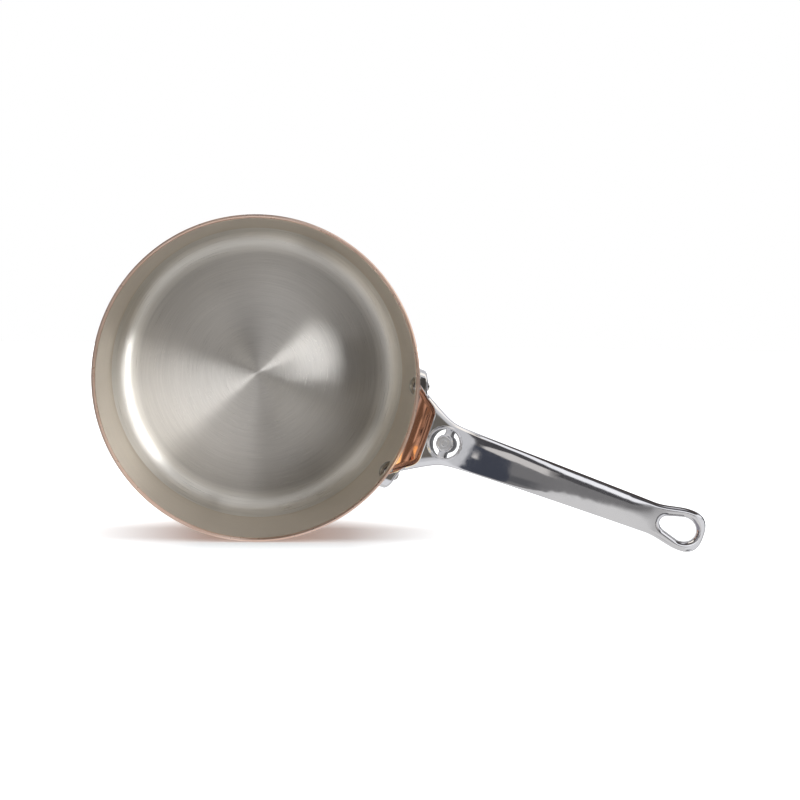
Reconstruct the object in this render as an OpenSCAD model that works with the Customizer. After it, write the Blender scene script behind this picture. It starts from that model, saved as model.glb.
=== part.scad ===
// A straight-sided copper saucepan, lined with stainless steel, with a long cast handle
// that two solid rivets hold to the wall. The pan stands on its base at the origin, Z is
// up and the handle runs out along X.

/* [Pan] */
// Diameter of the pan over the copper
pan_d = 200; // [160:1:260]
// Height from the resting face to the top of the rim
pan_h = 110; // [85:1:150]
// Thickness of the copper
copper_t = 2.2; // [1.5:0.1:3]
// Thickness of the stainless steel lining
lining_t = 0.3; // [0.2:0.1:0.8]
// Inside radius of the corner between wall and base
corner_r = 13.5; // [8:0.5:25]

/* [Flange] */
// Thickness of the flange that hugs the wall
flange_t = 5.5; // [4:0.1:7]
// Height of the flange
flange_h = 23; // [20:0.5:28]
// Length of the flange, measured straight across
flange_len = 78; // [70:1:90]
// How far the top of the flange lies below the rim
flange_drop = 4; // [2:0.5:8]
// Radius of the flange's four corners
flange_corner_r = 7; // [3:0.5:9]

/* [Rivets] */
// Distance between the two rivets, measured round the wall
rivet_span = 57; // [52:1:62]
// How far the rivets lie below the rim
rivet_drop = 12; // [10:0.5:16]
// Diameter of the shank
shank_d = 5; // [4:0.1:6]
// Diametral clearance of the shank in its holes
shank_clear = 0.1; // [0.05:0.05:0.3]
// Diameter of the domed head inside the pan
head_d = 12; // [9:0.5:14]
// Height of the domed head
head_h = 3; // [2:0.1:4]
// Diameter of the button on the flange
button_d = 6.4; // [6.2:0.1:9]
// Height of the button
button_h = 1.9; // [1:0.1:3]

/* [Handle] */
// Length of the handle from the wall to its tip
handle_len = 181; // [160:1:220]
// How far the top of the root lies below the rim
root_drop = 8; // [6:0.5:12]
// Slope of the grip in degrees
grip_slope = 23; // [10:1:30]
// Distance from the wall over which the handle bends up to that slope
bend_len = 110; // [80:1:120]
// Slope of the ring at the tip in degrees
tip_slope = 29; // [20:1:34]
// Distance from the tip back to where the handle starts to steepen to that slope
steep_gap = 80; // [60:1:100]
// Width across the two arms where they leave the flange
arm_w = 51.5; // [44:0.5:54]
// Distance from the wall at which the arms run into the grip
arm_len = 24.7; // [20:0.5:30]
// Depth of the arms at the wall
arm_depth = 18; // [14:0.5:20]
// Width of the grip where the arms end
grip_w = 25.8; // [22:0.2:28]
// Width of the neck before the ring
neck_w = 19.3; // [16:0.2:22]
// Thickness of the grip
grip_t = 9; // [7:0.2:11]
// Distance from the tip back to the neck
neck_gap = 29; // [28:0.5:40]
// Length over which one width of the outline eases into the next
ease_len = 3; // [1:0.5:5]

/* [Cove] */
// Distance of the crease across the root from the wall
crease_gap = 11.3; // [9:0.1:13]
// Width of the cove at the crease
crease_w = 34.5; // [28:0.5:38]
// Width of the cove at the wall
cove_w = 51; // [42:0.5:54]
// Depth of the cove at the wall, below the crease
cove_depth = 10.5; // [8:0.5:12]
// Radius of the cove's hollow floor
cove_r = 14; // [12:0.5:30]
// Thickness of the web under the cove and the badge
web_t = 4.5; // [3:0.1:6]
// Width of the arms' ribs below the web
rib_w = 4.5; // [3:0.1:6]

/* [Badge] */
// Distance of the badge's centre from the wall
badge_gap = 23; // [21:0.5:26]
// Diameter of the bare disc in the middle
badge_d = 11.4; // [10:0.2:13]
// Diameter over the two slots that go round the disc
slot_d = 18; // [16:0.2:19]
// Width of the two bridges that carry the disc
bridge_w = 4.3; // [3:0.1:6]
// Width of the raised lip round the slots
lip_w = 1.4; // [1:0.1:1.8]
// Height of the lip over the handle
lip_h = 0.5; // [0.3:0.1:1]

/* [Ring] */
// Width of the ring at the tip
ring_w = 25.8; // [24:0.2:30]
// Thickness of the ring
ring_t = 6; // [5:0.2:7]
// Distance from the tip back to the widest place of the ring
ring_gap = 10.5; // [9:0.5:14]
// Distance over which the neck widens into the ring
ring_ease = 20; // [15:0.5:26]
// Diameter of the eye at its wide end
eye_d = 14.2; // [12:0.2:16]
// Diameter of the eye at its narrow end
eye_small_d = 9; // [6:0.2:11]
// Length of the eye
eye_len = 20; // [17:0.5:24]
// Width of metal between the eye and the tip
eye_wall = 4.4; // [4:0.2:8]

/* [Hidden] */
$fn = 96;
// Sides of the pan's own large rounds
pan_fn = 180;
// How far a cut runs past what it cuts
over = 1;

pan_r = pan_d / 2;
wall_t = copper_t + lining_t;
outer_corner_r = corner_r + wall_t;
lining_r = pan_r - copper_t;
inner_r = pan_r - wall_t;
rim_r = copper_t / 2;
flange_top = pan_h - flange_drop;
rivet_z = pan_h - rivet_drop;
rivet_angle = rivet_span / pan_r / 2 * 180 / PI;

// The handle's stations are distances from the wall, x = 0 on the outside of the copper.
root_z = pan_h - root_drop;
root_len = arm_len * 2;
hollow_len = arm_len * 1.4;
neck_x = handle_len - neck_gap;
steep_x = handle_len - steep_gap;
ring_x = handle_len - ring_gap;
start_x = -copper_t;
tip_share = 0.9976;
// Exponent of the ring's outline, blunter than an ellipse
ring_power_share = 2.6;
// Exponents of the cross-section, nearly flat at the root and oval on the grip
root_share = 0.5;
grip_share = 0.92;
// Part of the thickness that lies above the widest line
upper_share = 0.45;
body_steps = 44;
tip_steps = 9;
section_steps = 28;

function clamp(v) = min(1, max(0, v));
function smooth(v) = let (c = clamp(v)) c * c * (3 - 2 * c);
function mix(a, b, v) = a + (b - a) * v;
function soft_max(a, b, k) = (a + b + sqrt((a - b) * (a - b) + k * k)) / 2;

// A slope that eases in from 0 at a to 1 at b, summed up to x
function ramp(x, a, b) =
    let (u = clamp((x - a) / (b - a)))
    (b - a) * (u * u * u - u * u * u * u / 2) + max(0, x - b);

// Height of the handle's top line over the resting face
function top_z(x) =
    root_z
    + tan(grip_slope) * ramp(x, 0, bend_len)
    + (tan(tip_slope) - tan(grip_slope)) * ramp(x, steep_x, handle_len);

// Part of the ring's width that is left at a station of its round tip
function tip_round(x) =
    let (u = clamp((x - ring_x) / ring_gap))
    pow(1 - pow(u, ring_power_share), 1 / ring_power_share);

// Half the width of the arms, then of the grip down to its neck
function arm_half(x) = mix(arm_w, grip_w, (x - flange_t / 2) / (arm_len - flange_t / 2)) / 2;
function grip_half(x) = mix(grip_w, neck_w, (x - arm_len) / (neck_x - arm_len)) / 2;
function stem_half(x) = soft_max(arm_half(x), grip_half(x), ease_len);
function half_width(x) =
    tip_round(x) * mix(stem_half(x), ring_w / 2, smooth(1 - (ring_x - x) / ring_ease));

// Thickness at a station: the deep arms, the grip, then the ring with its round end
function end_scale(x) =
    let (left = (handle_len - x) * 2 / ring_t)
    left >= 1 ? 1 : sqrt(1 - (1 - left) * (1 - left));
function thick(x) =
    x < root_len
    ? mix(arm_depth, grip_t, smooth(x / root_len))
    : mix(grip_t, ring_t, smooth((x - root_len) / (ring_x - root_len)));
function section_share(x) = mix(root_share, grip_share, smooth((x - crease_gap) / bend_len));

// Stations run evenly to the ring's widest place and then crowd towards the tip.
stations = concat(
    [for (i = [0 : body_steps]) mix(start_x, ring_x, i / body_steps)],
    [for (i = [1 : tip_steps]) ring_x + ring_gap * tip_share * sin(90 * i / tip_steps)]
);

function power(v, e) = v < 0 ? -pow(-v, e) : pow(v, e);
function section_point(x, a) =
    let (
        e = section_share(x),
        depth = thick(x),
        upper = min(depth, grip_t) * upper_share,
        rise = sin(a) > 0 ? upper : depth - upper,
        up = rise * end_scale(x) * power(sin(a), e)
    )
    [pan_r + x, half_width(x) * power(cos(a), e), top_z(x) - upper + up];

module handle_body() {
    count = len(stations);
    points = [
        for (x = stations)
        for (k = [0 : section_steps - 1])
        section_point(x, 360 * (k + 0.5) / section_steps)
    ];
    sides = [
        for (i = [0 : count - 2])
        for (k = [0 : section_steps - 1])
        let (
            n = (k + 1) % section_steps,
            a = i * section_steps + k,
            b = i * section_steps + n,
            c = (i + 1) * section_steps + n,
            d = (i + 1) * section_steps + k
        )
        for (face = [[a, c, b], [a, d, c]])
        face
    ];
    ends = [
        [for (k = [0 : section_steps - 1]) k],
        [for (k = [section_steps - 1 : -1 : 0]) (count - 1) * section_steps + k]
    ];
    polyhedron(points, concat(sides, ends), convexity = 6);
}

// The flange is a strip of tube with rounded corners.
module flange() {
    chord = flange_len / 2;
    flat = chord - flange_corner_r;
    tall = flange_h / 2 - flange_corner_r;
    intersection() {
        translate([0, 0, flange_top - flange_h])
            cylinder(r = pan_r + flange_t, h = flange_h, $fn = pan_fn);
        translate([0, 0, flange_top - flange_h / 2])
            rotate([90, 0, 90])
            linear_extrude(pan_r + flange_t + over)
            union() {
                square([2 * flat, flange_h], center = true);
                square([2 * chord, 2 * tall], center = true);
                for (side = [-1, 1])
                for (up = [-1, 1])
                translate([side * flat, up * tall])
                    circle(r = flange_corner_r);
            }
    }
}

handle_rise = top_z(handle_len) - root_z;

// Centre of the circle that hollows the cove, through the crease and the foot of the wall
crease_z = top_z(crease_gap);
chord_len = norm([crease_gap, cove_depth]);
chord_off = sqrt(cove_r * cove_r - chord_len * chord_len / 4);
cove_x = (crease_gap - 2 * chord_off * cove_depth / chord_len) / 2;
cove_z = crease_z - (cove_depth - 2 * chord_off * crease_gap / chord_len) / 2;

// Plan of a space between the arms, from inside the wall to a given station
module arm_plan(near_w, far_w, far_x, height) {
    slope = (far_w - near_w) / 2 / far_x;
    reach = flange_t + copper_t;
    linear_extrude(height)
        polygon([
            [pan_r - reach, near_w / 2 - slope * reach],
            [pan_r + far_x, far_w / 2],
            [pan_r + far_x, -far_w / 2],
            [pan_r - reach, -near_w / 2 + slope * reach]
        ]);
}

module cove_cut() {
    translate([0, 0, crease_z - cove_depth - over])
        intersection() {
            arm_plan(cove_w, crease_w, crease_gap, cove_depth + handle_rise);
            translate([pan_r + cove_x, 0, cove_z - crease_z + cove_depth + over])
                rotate([90, 0, 0])
                union() {
                    cylinder(r = cove_r, h = cove_w * 2, center = true, $fn = 120);
                    translate([-cove_r, 0, -cove_w])
                        cube([cove_r - cove_x + crease_gap, handle_rise, cove_w * 2]);
                }
        }
}

// The hollow under the root leaves a web and two ribs.
module under_cut() {
    near_w = cove_w - 2 * rib_w;
    far_w = grip_w - 3 * rib_w;
    low_z = flange_top - flange_h - over;
    intersection() {
        translate([0, 0, low_z])
            arm_plan(near_w, far_w, hollow_len, flange_h + handle_rise);
        translate([pan_r, arm_w, 0])
            rotate([90, 0, 0])
            linear_extrude(arm_w * 2)
            polygon([
                [flange_t, low_z],
                [flange_t, crease_z - cove_depth - web_t / 2],
                [crease_gap, crease_z - cove_depth / 4 - web_t],
                [badge_gap, top_z(badge_gap) - web_t],
                [hollow_len, top_z(hollow_len) - grip_t],
                [hollow_len, low_z]
            ]);
    }
}

// The badge lies in the slope that the handle has at its centre.
badge_slope = atan2(top_z(badge_gap + over) - top_z(badge_gap - over), 2 * over);

module at_badge() {
    translate([pan_r + badge_gap, 0, top_z(badge_gap)])
        rotate([0, -badge_slope, 0])
        children();
}

module badge_pad() {
    at_badge()
        translate([0, 0, -web_t])
        difference() {
            cylinder(d = slot_d + 2 * lip_w, h = web_t + lip_h);
            translate([0, 0, web_t])
                cylinder(d = slot_d, h = lip_h + over);
        }
    at_badge()
        translate([0, 0, -web_t])
        cylinder(d = badge_d, h = web_t + lip_h);
}

module slot_cut() {
    at_badge()
        translate([0, 0, -arm_depth])
        linear_extrude(arm_depth + grip_t)
        difference() {
            circle(d = slot_d);
            circle(d = badge_d);
            square([bridge_w, slot_d + over], center = true);
        }
}

// The eye is an egg: two circles and the quadrilateral between their tangent points.
module eye_cut() {
    wide_r = eye_d / 2;
    small_r = eye_small_d / 2;
    wide_x = handle_len - eye_wall - wide_r;
    small_x = handle_len - eye_wall - eye_len + small_r;
    lean = asin((wide_r - small_r) / (wide_x - small_x));
    edge = [-sin(lean), cos(lean)];
    translate([pan_r, 0, root_z])
        linear_extrude(handle_rise + over)
        union() {
            translate([wide_x, 0])
                circle(r = wide_r);
            translate([small_x, 0])
                circle(r = small_r);
            polygon([
                [small_x, 0] + small_r * edge,
                [wide_x, 0] + wide_r * edge,
                [wide_x + wide_r * edge.x, -wide_r * edge.y],
                [small_x + small_r * edge.x, -small_r * edge.y]
            ]);
        }
}

// Turns its children so that their Z runs out through the wall at a rivet's place.
module at_rivet(side) {
    rotate([0, 0, side * rivet_angle])
        translate([0, 0, rivet_z])
        rotate([0, 90, 0])
        children();
}

module rivet_bores() {
    for (side = [-1, 1])
    at_rivet(side)
        translate([0, 0, inner_r - head_h])
        cylinder(d = shank_d + shank_clear, h = wall_t + flange_t + head_h + button_h + over);
}

// Half of the pan's section between two radii, with its base corner as arcs
module cup_profile(outside_r, outside_corner, floor_z, top) {
    translate([0, floor_z])
        square([outside_r - outside_corner, top - floor_z]);
    translate([0, floor_z + outside_corner])
        square([outside_r, top - floor_z - outside_corner]);
    translate([outside_r - outside_corner, floor_z + outside_corner])
        circle(r = outside_corner);
}

module right_half() {
    intersection() {
        children();
        square([pan_d, pan_h * 2]);
    }
}

module copper_shell() {
    color("peru")
        difference() {
            rotate_extrude($fn = pan_fn)
                right_half()
                union() {
                    difference() {
                        cup_profile(pan_r, outer_corner_r, 0, pan_h - rim_r);
                        cup_profile(lining_r, corner_r + lining_t, copper_t, pan_h + over);
                    }
                    translate([pan_r - rim_r, pan_h - rim_r])
                        circle(r = rim_r, $fn = 48);
                }
            rivet_bores();
        }
}

module steel_lining() {
    color("lightgray")
        difference() {
            rotate_extrude($fn = pan_fn)
                right_half()
                difference() {
                    cup_profile(lining_r, corner_r + lining_t, copper_t, pan_h - rim_r);
                    cup_profile(inner_r, corner_r, wall_t, pan_h + over);
                }
            rivet_bores();
        }
}

module handle() {
    color("silver")
        difference() {
            union() {
                flange();
                handle_body();
                badge_pad();
            }
            translate([0, 0, -over])
                cylinder(r = pan_r, h = pan_h + handle_rise, $fn = pan_fn);
            cove_cut();
            under_cut();
            slot_cut();
            eye_cut();
            rivet_bores();
        }
}

// A solid rivet: the domed head inside, the shank and the button on the flange. The backs
// of the head and the button follow the round walls that they press on.
module rivet(side) {
    dome_r = (head_d * head_d / 4 + head_h * head_h) / 2 / head_h;
    face_r = pan_r + flange_t;
    button_r = (button_d * button_d / 4 + button_h * button_h) / 2 / button_h;
    at_rivet(side)
        translate([0, 0, inner_r - head_h / 2])
        cylinder(d = shank_d, h = face_r - inner_r + head_h / 2 + button_h / 2, $fn = 48);
    intersection() {
        at_rivet(side)
            intersection() {
                translate([0, 0, inner_r - head_h + dome_r])
                    sphere(r = dome_r);
                cylinder(d = head_d, h = inner_r + head_h);
            }
        cylinder(r = inner_r, h = pan_h * 2, $fn = pan_fn);
    }
    difference() {
        at_rivet(side)
            translate([0, 0, face_r - button_h])
            intersection() {
                translate([0, 0, 2 * button_h - button_r])
                    sphere(r = button_r, $fn = 48);
                cylinder(d = button_d, h = 2 * button_h, $fn = 48);
            }
        cylinder(r = face_r, h = pan_h * 2, $fn = pan_fn);
    }
}

module rivet_left() {
    color("gainsboro")
        rivet(1);
}

module rivet_right() {
    color("gainsboro")
        rivet(-1);
}

copper_shell();
steel_lining();
handle();
rivet_left();
rivet_right();
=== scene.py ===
# The looks of the saucepan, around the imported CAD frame. Lengths are in millimetres up to
# the point where a mesh is made, and in metres from there on.
import math

import bpy
import numpy as np
from mathutils import Matrix, Vector


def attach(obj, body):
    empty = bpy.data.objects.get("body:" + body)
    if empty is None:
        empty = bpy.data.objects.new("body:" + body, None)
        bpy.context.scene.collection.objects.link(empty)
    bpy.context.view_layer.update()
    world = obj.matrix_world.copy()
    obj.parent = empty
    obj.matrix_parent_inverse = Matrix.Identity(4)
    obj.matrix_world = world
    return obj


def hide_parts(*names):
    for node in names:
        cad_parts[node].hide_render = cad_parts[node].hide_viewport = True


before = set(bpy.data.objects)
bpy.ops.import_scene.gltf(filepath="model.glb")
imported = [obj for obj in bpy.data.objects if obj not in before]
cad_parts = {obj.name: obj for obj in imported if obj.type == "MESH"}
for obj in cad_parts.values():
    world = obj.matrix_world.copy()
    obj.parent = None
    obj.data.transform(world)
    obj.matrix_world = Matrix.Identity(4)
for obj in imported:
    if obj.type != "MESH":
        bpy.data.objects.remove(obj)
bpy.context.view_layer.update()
MM = 0.001

# Sizes of the part, the same as in the CAD source
PAN_R = 100.0
PAN_H = 110.0
COPPER_T = 2.2
LINING_T = 0.3
CORNER_R = 13.5
LINING_R = PAN_R - COPPER_T
INNER_R = LINING_R - LINING_T
RIM_R = COPPER_T / 2
FLANGE_T = 5.5
FLANGE_H = 23.0
FLANGE_LEN = 78.0
FLANGE_TOP = PAN_H - 4.0
FLANGE_CORNER = 7.0
RIVET_SPAN = 57.0
RIVET_Z = PAN_H - 12.0
RIVET_ANGLE = RIVET_SPAN / PAN_R / 2
SHANK_D = 5.0
SHANK_CLEAR = 0.1
HEAD_D = 12.0
HEAD_H = 3.0
BUTTON_D = 6.4
BUTTON_H = 1.9
HANDLE_LEN = 181.0
ROOT_Z = PAN_H - 8.0
GRIP_SLOPE = math.tan(math.radians(23.0))
BEND_LEN = 110.0
TIP_SLOPE = math.tan(math.radians(29.0))
STEEP_X = HANDLE_LEN - 80.0
ARM_W = 51.5
ARM_LEN = 24.7
ARM_DEPTH = 18.0
GRIP_W = 25.8
NECK_W = 19.3
GRIP_T = 9.0
NECK_X = HANDLE_LEN - 29.0
EASE_LEN = 3.0
CREASE_X = 11.3
CREASE_W = 34.5
COVE_W = 51.0
COVE_DEPTH = 10.5
COVE_R = 14.0
WEB_T = 4.5
RIB_W = 4.5
BADGE_X = 23.0
BADGE_D = 11.4
SLOT_D = 18.0
BRIDGE_W = 4.3
LIP_W = 1.4
LIP_H = 0.5
RING_W = 25.8
RING_T = 6.0
RING_GAP = 10.5
RING_X = HANDLE_LEN - RING_GAP
RING_EASE = 20.0
RING_POWER = 2.6
EYE_R = 7.1
EYE_SMALL_R = 4.5
EYE_LEN = 20.0
EYE_WALL = 4.4
EYE_X = HANDLE_LEN - EYE_WALL - EYE_R
EYE_SMALL_X = HANDLE_LEN - EYE_WALL - EYE_LEN + EYE_SMALL_R
ROOT_LEN = ARM_LEN * 2
HOLLOW_LEN = ARM_LEN * 1.4
ROOT_SHARE = 0.5
GRIP_SHARE = 0.92
UPPER_SHARE = 0.45


# Camera

CAM_PLACE = Vector((-0.006083, 0.039044, 1.059991))
CAM_RIGHT = Vector((0.93993875, 0.33078396, 0.08424433))
CAM_UP = Vector((-0.32712711, 0.94341119, -0.05443507))
CAM_BACK = Vector((-0.0974833, 0.02360703, 0.99495714))
CAM_LENS = 69.86
CAM_SENSOR = 36.0
CAM_CLIP = (0.01, 50.0)

cam_data = bpy.data.cameras.new("camera")
cam_data.lens = CAM_LENS
cam_data.sensor_width = CAM_SENSOR
cam_data.clip_start, cam_data.clip_end = CAM_CLIP
camera = bpy.data.objects.new("camera", cam_data)
bpy.context.scene.collection.objects.link(camera)
turn = Matrix((CAM_RIGHT, CAM_UP, CAM_BACK)).transposed().to_4x4()
camera.matrix_world = Matrix.Translation(CAM_PLACE) @ turn
bpy.context.scene.camera = camera
bpy.context.scene.view_settings.view_transform = "Standard"


# Mesh helpers

def link_object(name, mesh):
    piece = bpy.data.objects.new(name, mesh)
    bpy.context.scene.collection.objects.link(piece)
    return piece


def make_object(name, verts, faces, normals=None):
    """A smooth-shaded object from points in millimetres and faces of equal or mixed length."""
    mesh = bpy.data.meshes.new(name)
    verts = np.asarray(verts, dtype=np.float64) * MM
    if isinstance(faces, np.ndarray):
        count = len(faces)
        sides = faces.shape[1]
        mesh.vertices.add(len(verts))
        mesh.vertices.foreach_set("co", verts.ravel().astype(np.float32))
        mesh.loops.add(count * sides)
        mesh.loops.foreach_set("vertex_index", faces.ravel().astype(np.int32))
        mesh.polygons.add(count)
        mesh.polygons.foreach_set("loop_start", np.arange(0, count * sides, sides, dtype=np.int32))
        mesh.update(calc_edges=True)
    else:
        mesh.from_pydata(verts.tolist(), [], faces)
    mesh.validate()
    mesh.polygons.foreach_set("use_smooth", np.ones(len(mesh.polygons), dtype=bool))
    if normals is not None:
        mesh.normals_split_custom_set_from_vertices(normals.tolist())
    mesh.update()
    return link_object(name, mesh)


def arc(centre_r, centre_z, radius, start, stop, steps):
    """Points of an arc in a profile, by angles in degrees from +R towards +Z."""
    angles = np.radians(np.linspace(start, stop, steps + 1))
    return [(centre_r + radius * math.cos(a), centre_z + radius * math.sin(a)) for a in angles]


def skin(rows, segments, turned_over=False):
    """Faces between rings of vertices. A row that repeats one vertex is a pole."""
    faces = []
    for low, high in zip(rows, rows[1:]):
        for k in range(segments):
            n = (k + 1) % segments
            face = [low[k], low[n], high[n], high[k]]
            if turned_over:
                face = [low[k], high[k], high[n], low[n]]
            kept = [v for i, v in enumerate(face) if v != face[i - 1]]
            if len(kept) > 2:
                faces.append(kept)
    return faces


def lathe(profile, segments):
    """Turns a profile of (radius, height) round Z. Points at radius 0 become single poles."""
    turns = np.linspace(0, 2 * np.pi, segments, endpoint=False)
    verts, rows = [], []
    for r, z in profile:
        if r < 1e-9:
            rows.append([len(verts)] * segments)
            verts.append((0.0, 0.0, z))
        else:
            rows.append(list(range(len(verts), len(verts) + segments)))
            verts.extend((r * math.cos(t), r * math.sin(t), z) for t in turns)
    return verts, skin(rows, segments)


def spaced(start, stop, step):
    """Evenly spaced values from start towards stop, without stop."""
    count = max(1, int(round(abs(stop - start) / step)))
    return [start + (stop - start) * i / count for i in range(count)]


# Copper shell and steel lining

PAN_SEGMENTS = 288
# Distances in mm between the points of a straight line in a profile
COARSE_STEP = 8.0
WALL_STEP = 6.0
FLOOR_STEP = 4.0
# Radii in mm of the innermost rings, next to the pole
SHELL_FIRST = 4.0
LINING_FIRST = 3.0
LINING_DOT = 1.0
# Steps along the arcs of a profile
OUTER_STEPS = 18
MIDDLE_STEPS = 14
INNER_STEPS = 24
RIM_STEPS = 14
EDGE_STEPS = 3
# Radius in mm of the lining's two top edges
EDGE_R = 0.12

outer_corner = CORNER_R + LINING_T + COPPER_T
copper_corner = CORNER_R + LINING_T
floor_r = PAN_R - outer_corner
rim_z = PAN_H - RIM_R

shell_profile = [(0.0, 0.0)]
shell_profile += [(r, 0.0) for r in spaced(SHELL_FIRST, floor_r, COARSE_STEP)]
shell_profile += arc(floor_r, outer_corner, outer_corner, -90, 0, OUTER_STEPS)
shell_profile += [(PAN_R, z) for z in spaced(outer_corner, rim_z, COARSE_STEP)[1:]]
shell_profile += arc(PAN_R - RIM_R, rim_z, RIM_R, 0, 180, RIM_STEPS)
shell_profile += [(LINING_R, z) for z in spaced(rim_z, copper_corner + COPPER_T, COARSE_STEP)[1:]]
shell_profile += arc(floor_r, copper_corner + COPPER_T, copper_corner, 0, -90, MIDDLE_STEPS)
shell_profile += [(r, COPPER_T) for r in spaced(floor_r, SHELL_FIRST, COARSE_STEP)[1:]]
shell_profile += [(SHELL_FIRST, COPPER_T), (0.0, COPPER_T)]
shell = make_object("copper_body", *lathe(shell_profile, PAN_SEGMENTS))

edge_z = rim_z - EDGE_R
lining_floor = COPPER_T + LINING_T
lining_profile = [(0.0, COPPER_T)]
lining_profile += [(r, COPPER_T) for r in spaced(SHELL_FIRST, floor_r, COARSE_STEP)]
lining_profile += arc(floor_r, copper_corner + COPPER_T, copper_corner, -90, 0, MIDDLE_STEPS)
lining_profile += [(LINING_R, z) for z in spaced(copper_corner + COPPER_T, edge_z, COARSE_STEP)[1:]]
lining_profile += arc(LINING_R - EDGE_R, edge_z, EDGE_R, 0, 90, EDGE_STEPS)
lining_profile += arc(INNER_R + EDGE_R, edge_z, EDGE_R, 90, 180, EDGE_STEPS)
lining_profile += [(INNER_R, z) for z in spaced(edge_z, CORNER_R + lining_floor, WALL_STEP)[1:]]
lining_profile += arc(floor_r, CORNER_R + lining_floor, CORNER_R, 0, -90, INNER_STEPS)
lining_profile += [(r, lining_floor) for r in spaced(floor_r, LINING_FIRST, FLOOR_STEP)[1:]]
lining_profile += [(r, lining_floor) for r in (LINING_FIRST, LINING_DOT, 0.0)]
lining = make_object("steel_inside", *lathe(lining_profile, PAN_SEGMENTS))


# Handle

# Radii in mm to which edges are rounded and corners are filled
RING_ROUND = RING_T * 0.48
FLANGE_EDGE = 1.8
FLANGE_FILLET = 2.2
COVE_CORNER = 2.5
COVE_EDGE = 0.7
UNDER_CORNER = 2.0
UNDER_EDGE = 1.2
LIP_EDGE = 0.45
LIP_FILLET = 0.5
WELL_CORNER = 0.2
WELL_EDGE = 0.3
DISC_EDGE = 0.35
SLOT_CORNER = 0.6
SLOT_EDGE = 0.35
# The grip's section turns into the ring's from this far before the neck, over this length
BLEND_BACK = 16.0
BLEND_LEN = 19.0
# The disc's grooves: their radii round its centre, and their own radius and centre's height
GROOVES = (2.0, 4.3)
GROOVE_R = 0.50
GROOVE_UP = 0.20
# How far the slots lean in plan for each mm of depth
SLOT_LEAN = 0.42
# The surface lies this far inside the solid's, so that it stays in its box
FIELD_SHRINK = 0.03
# Half the length over which the slope of the ring's outline is measured
RATE_STEP = 0.05
# Keeps powers of zero out of the superellipses
TINY = 1e-6


def clamp01(v):
    return np.minimum(1.0, np.maximum(0.0, v))


def smooth(v):
    """A soft step from 0 to 1."""
    c = clamp01(v)
    return c * c * (3 - 2 * c)


def mix(a, b, v):
    return a + (b - a) * v


def soft_max(a, b, k):
    """Largest of two values, with the crossing eased over about k."""
    return (a + b + np.sqrt((a - b) ** 2 + k * k)) / 2


def ramp(x, a, b):
    """Level up to a, then a slope that grows smoothly to 1 at b and stays so."""
    u = clamp01((x - a) / (b - a))
    return (b - a) * (u ** 3 - u ** 4 / 2) + np.maximum(0, x - b)


def top_z(x):
    """Height of the handle's top line, at a distance from the wall."""
    bend = GRIP_SLOPE * ramp(x, 0.0, BEND_LEN)
    return ROOT_Z + bend + (TIP_SLOPE - GRIP_SLOPE) * ramp(x, STEEP_X, HANDLE_LEN)


def half_width(x):
    """Half the handle's width, up to the ring's widest place."""
    arm = mix(ARM_W, GRIP_W, (x - FLANGE_T / 2) / (ARM_LEN - FLANGE_T / 2)) / 2
    grip = mix(GRIP_W, NECK_W, (x - ARM_LEN) / (NECK_X - ARM_LEN)) / 2
    stem = soft_max(arm, grip, EASE_LEN)
    return mix(stem, RING_W / 2, smooth(1 - (RING_X - x) / RING_EASE))


def thickness(x):
    """Depth of the handle under its top line."""
    near = mix(ARM_DEPTH, GRIP_T, smooth(x / ROOT_LEN))
    far = mix(GRIP_T, RING_T, smooth((x - ROOT_LEN) / (RING_X - ROOT_LEN)))
    return np.where(x < ROOT_LEN, near, far)


def round_max(a, b, r):
    """Largest of two distances, with the outside corner rounded to radius r."""
    corner = np.hypot(np.maximum(a + r, 0), np.maximum(b + r, 0)) - r
    return np.minimum(np.maximum(a + r, b + r), 0) + corner


def round_min(a, b, r):
    """Smallest of two distances, with the inside corner filled to radius r."""
    return -round_max(-a, -b, r)


def body_field(x, y, z):
    """Distance to the arms and the grip, whose sections are superellipses."""
    w = half_width(np.minimum(x, RING_X))
    depth = thickness(x)
    upper = np.minimum(depth, GRIP_T) * UPPER_SHARE
    lift = z - top_z(x) + upper
    h = np.where(lift > 0, upper, depth - upper)
    n = 2 / mix(ROOT_SHARE, GRIP_SHARE, smooth((x - CREASE_X) / BEND_LEN))
    a = np.abs(y) / w + TINY
    b = np.abs(lift) / h + TINY
    q = (a ** n + b ** n) ** (1 / n)
    slope = q ** (1 - n) * np.hypot(a ** (n - 1) / w, b ** (n - 1) / h)
    return (q - 1) / slope


def egg_field(x, y):
    """Plan distance to the eye: two circles and their common tangents."""
    length = EYE_X - EYE_SMALL_X
    px = np.abs(y)
    py = EYE_X - x
    lean = (EYE_R - EYE_SMALL_R) / length
    side = math.sqrt(1 - lean * lean)
    k = -px * lean + py * side
    near = np.hypot(px, py) - EYE_R
    far = np.hypot(px, py - length) - EYE_SMALL_R
    flank = px * side + py * lean - EYE_R
    return np.where(k < 0, near, np.where(k > side * length, far, flank))


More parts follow.
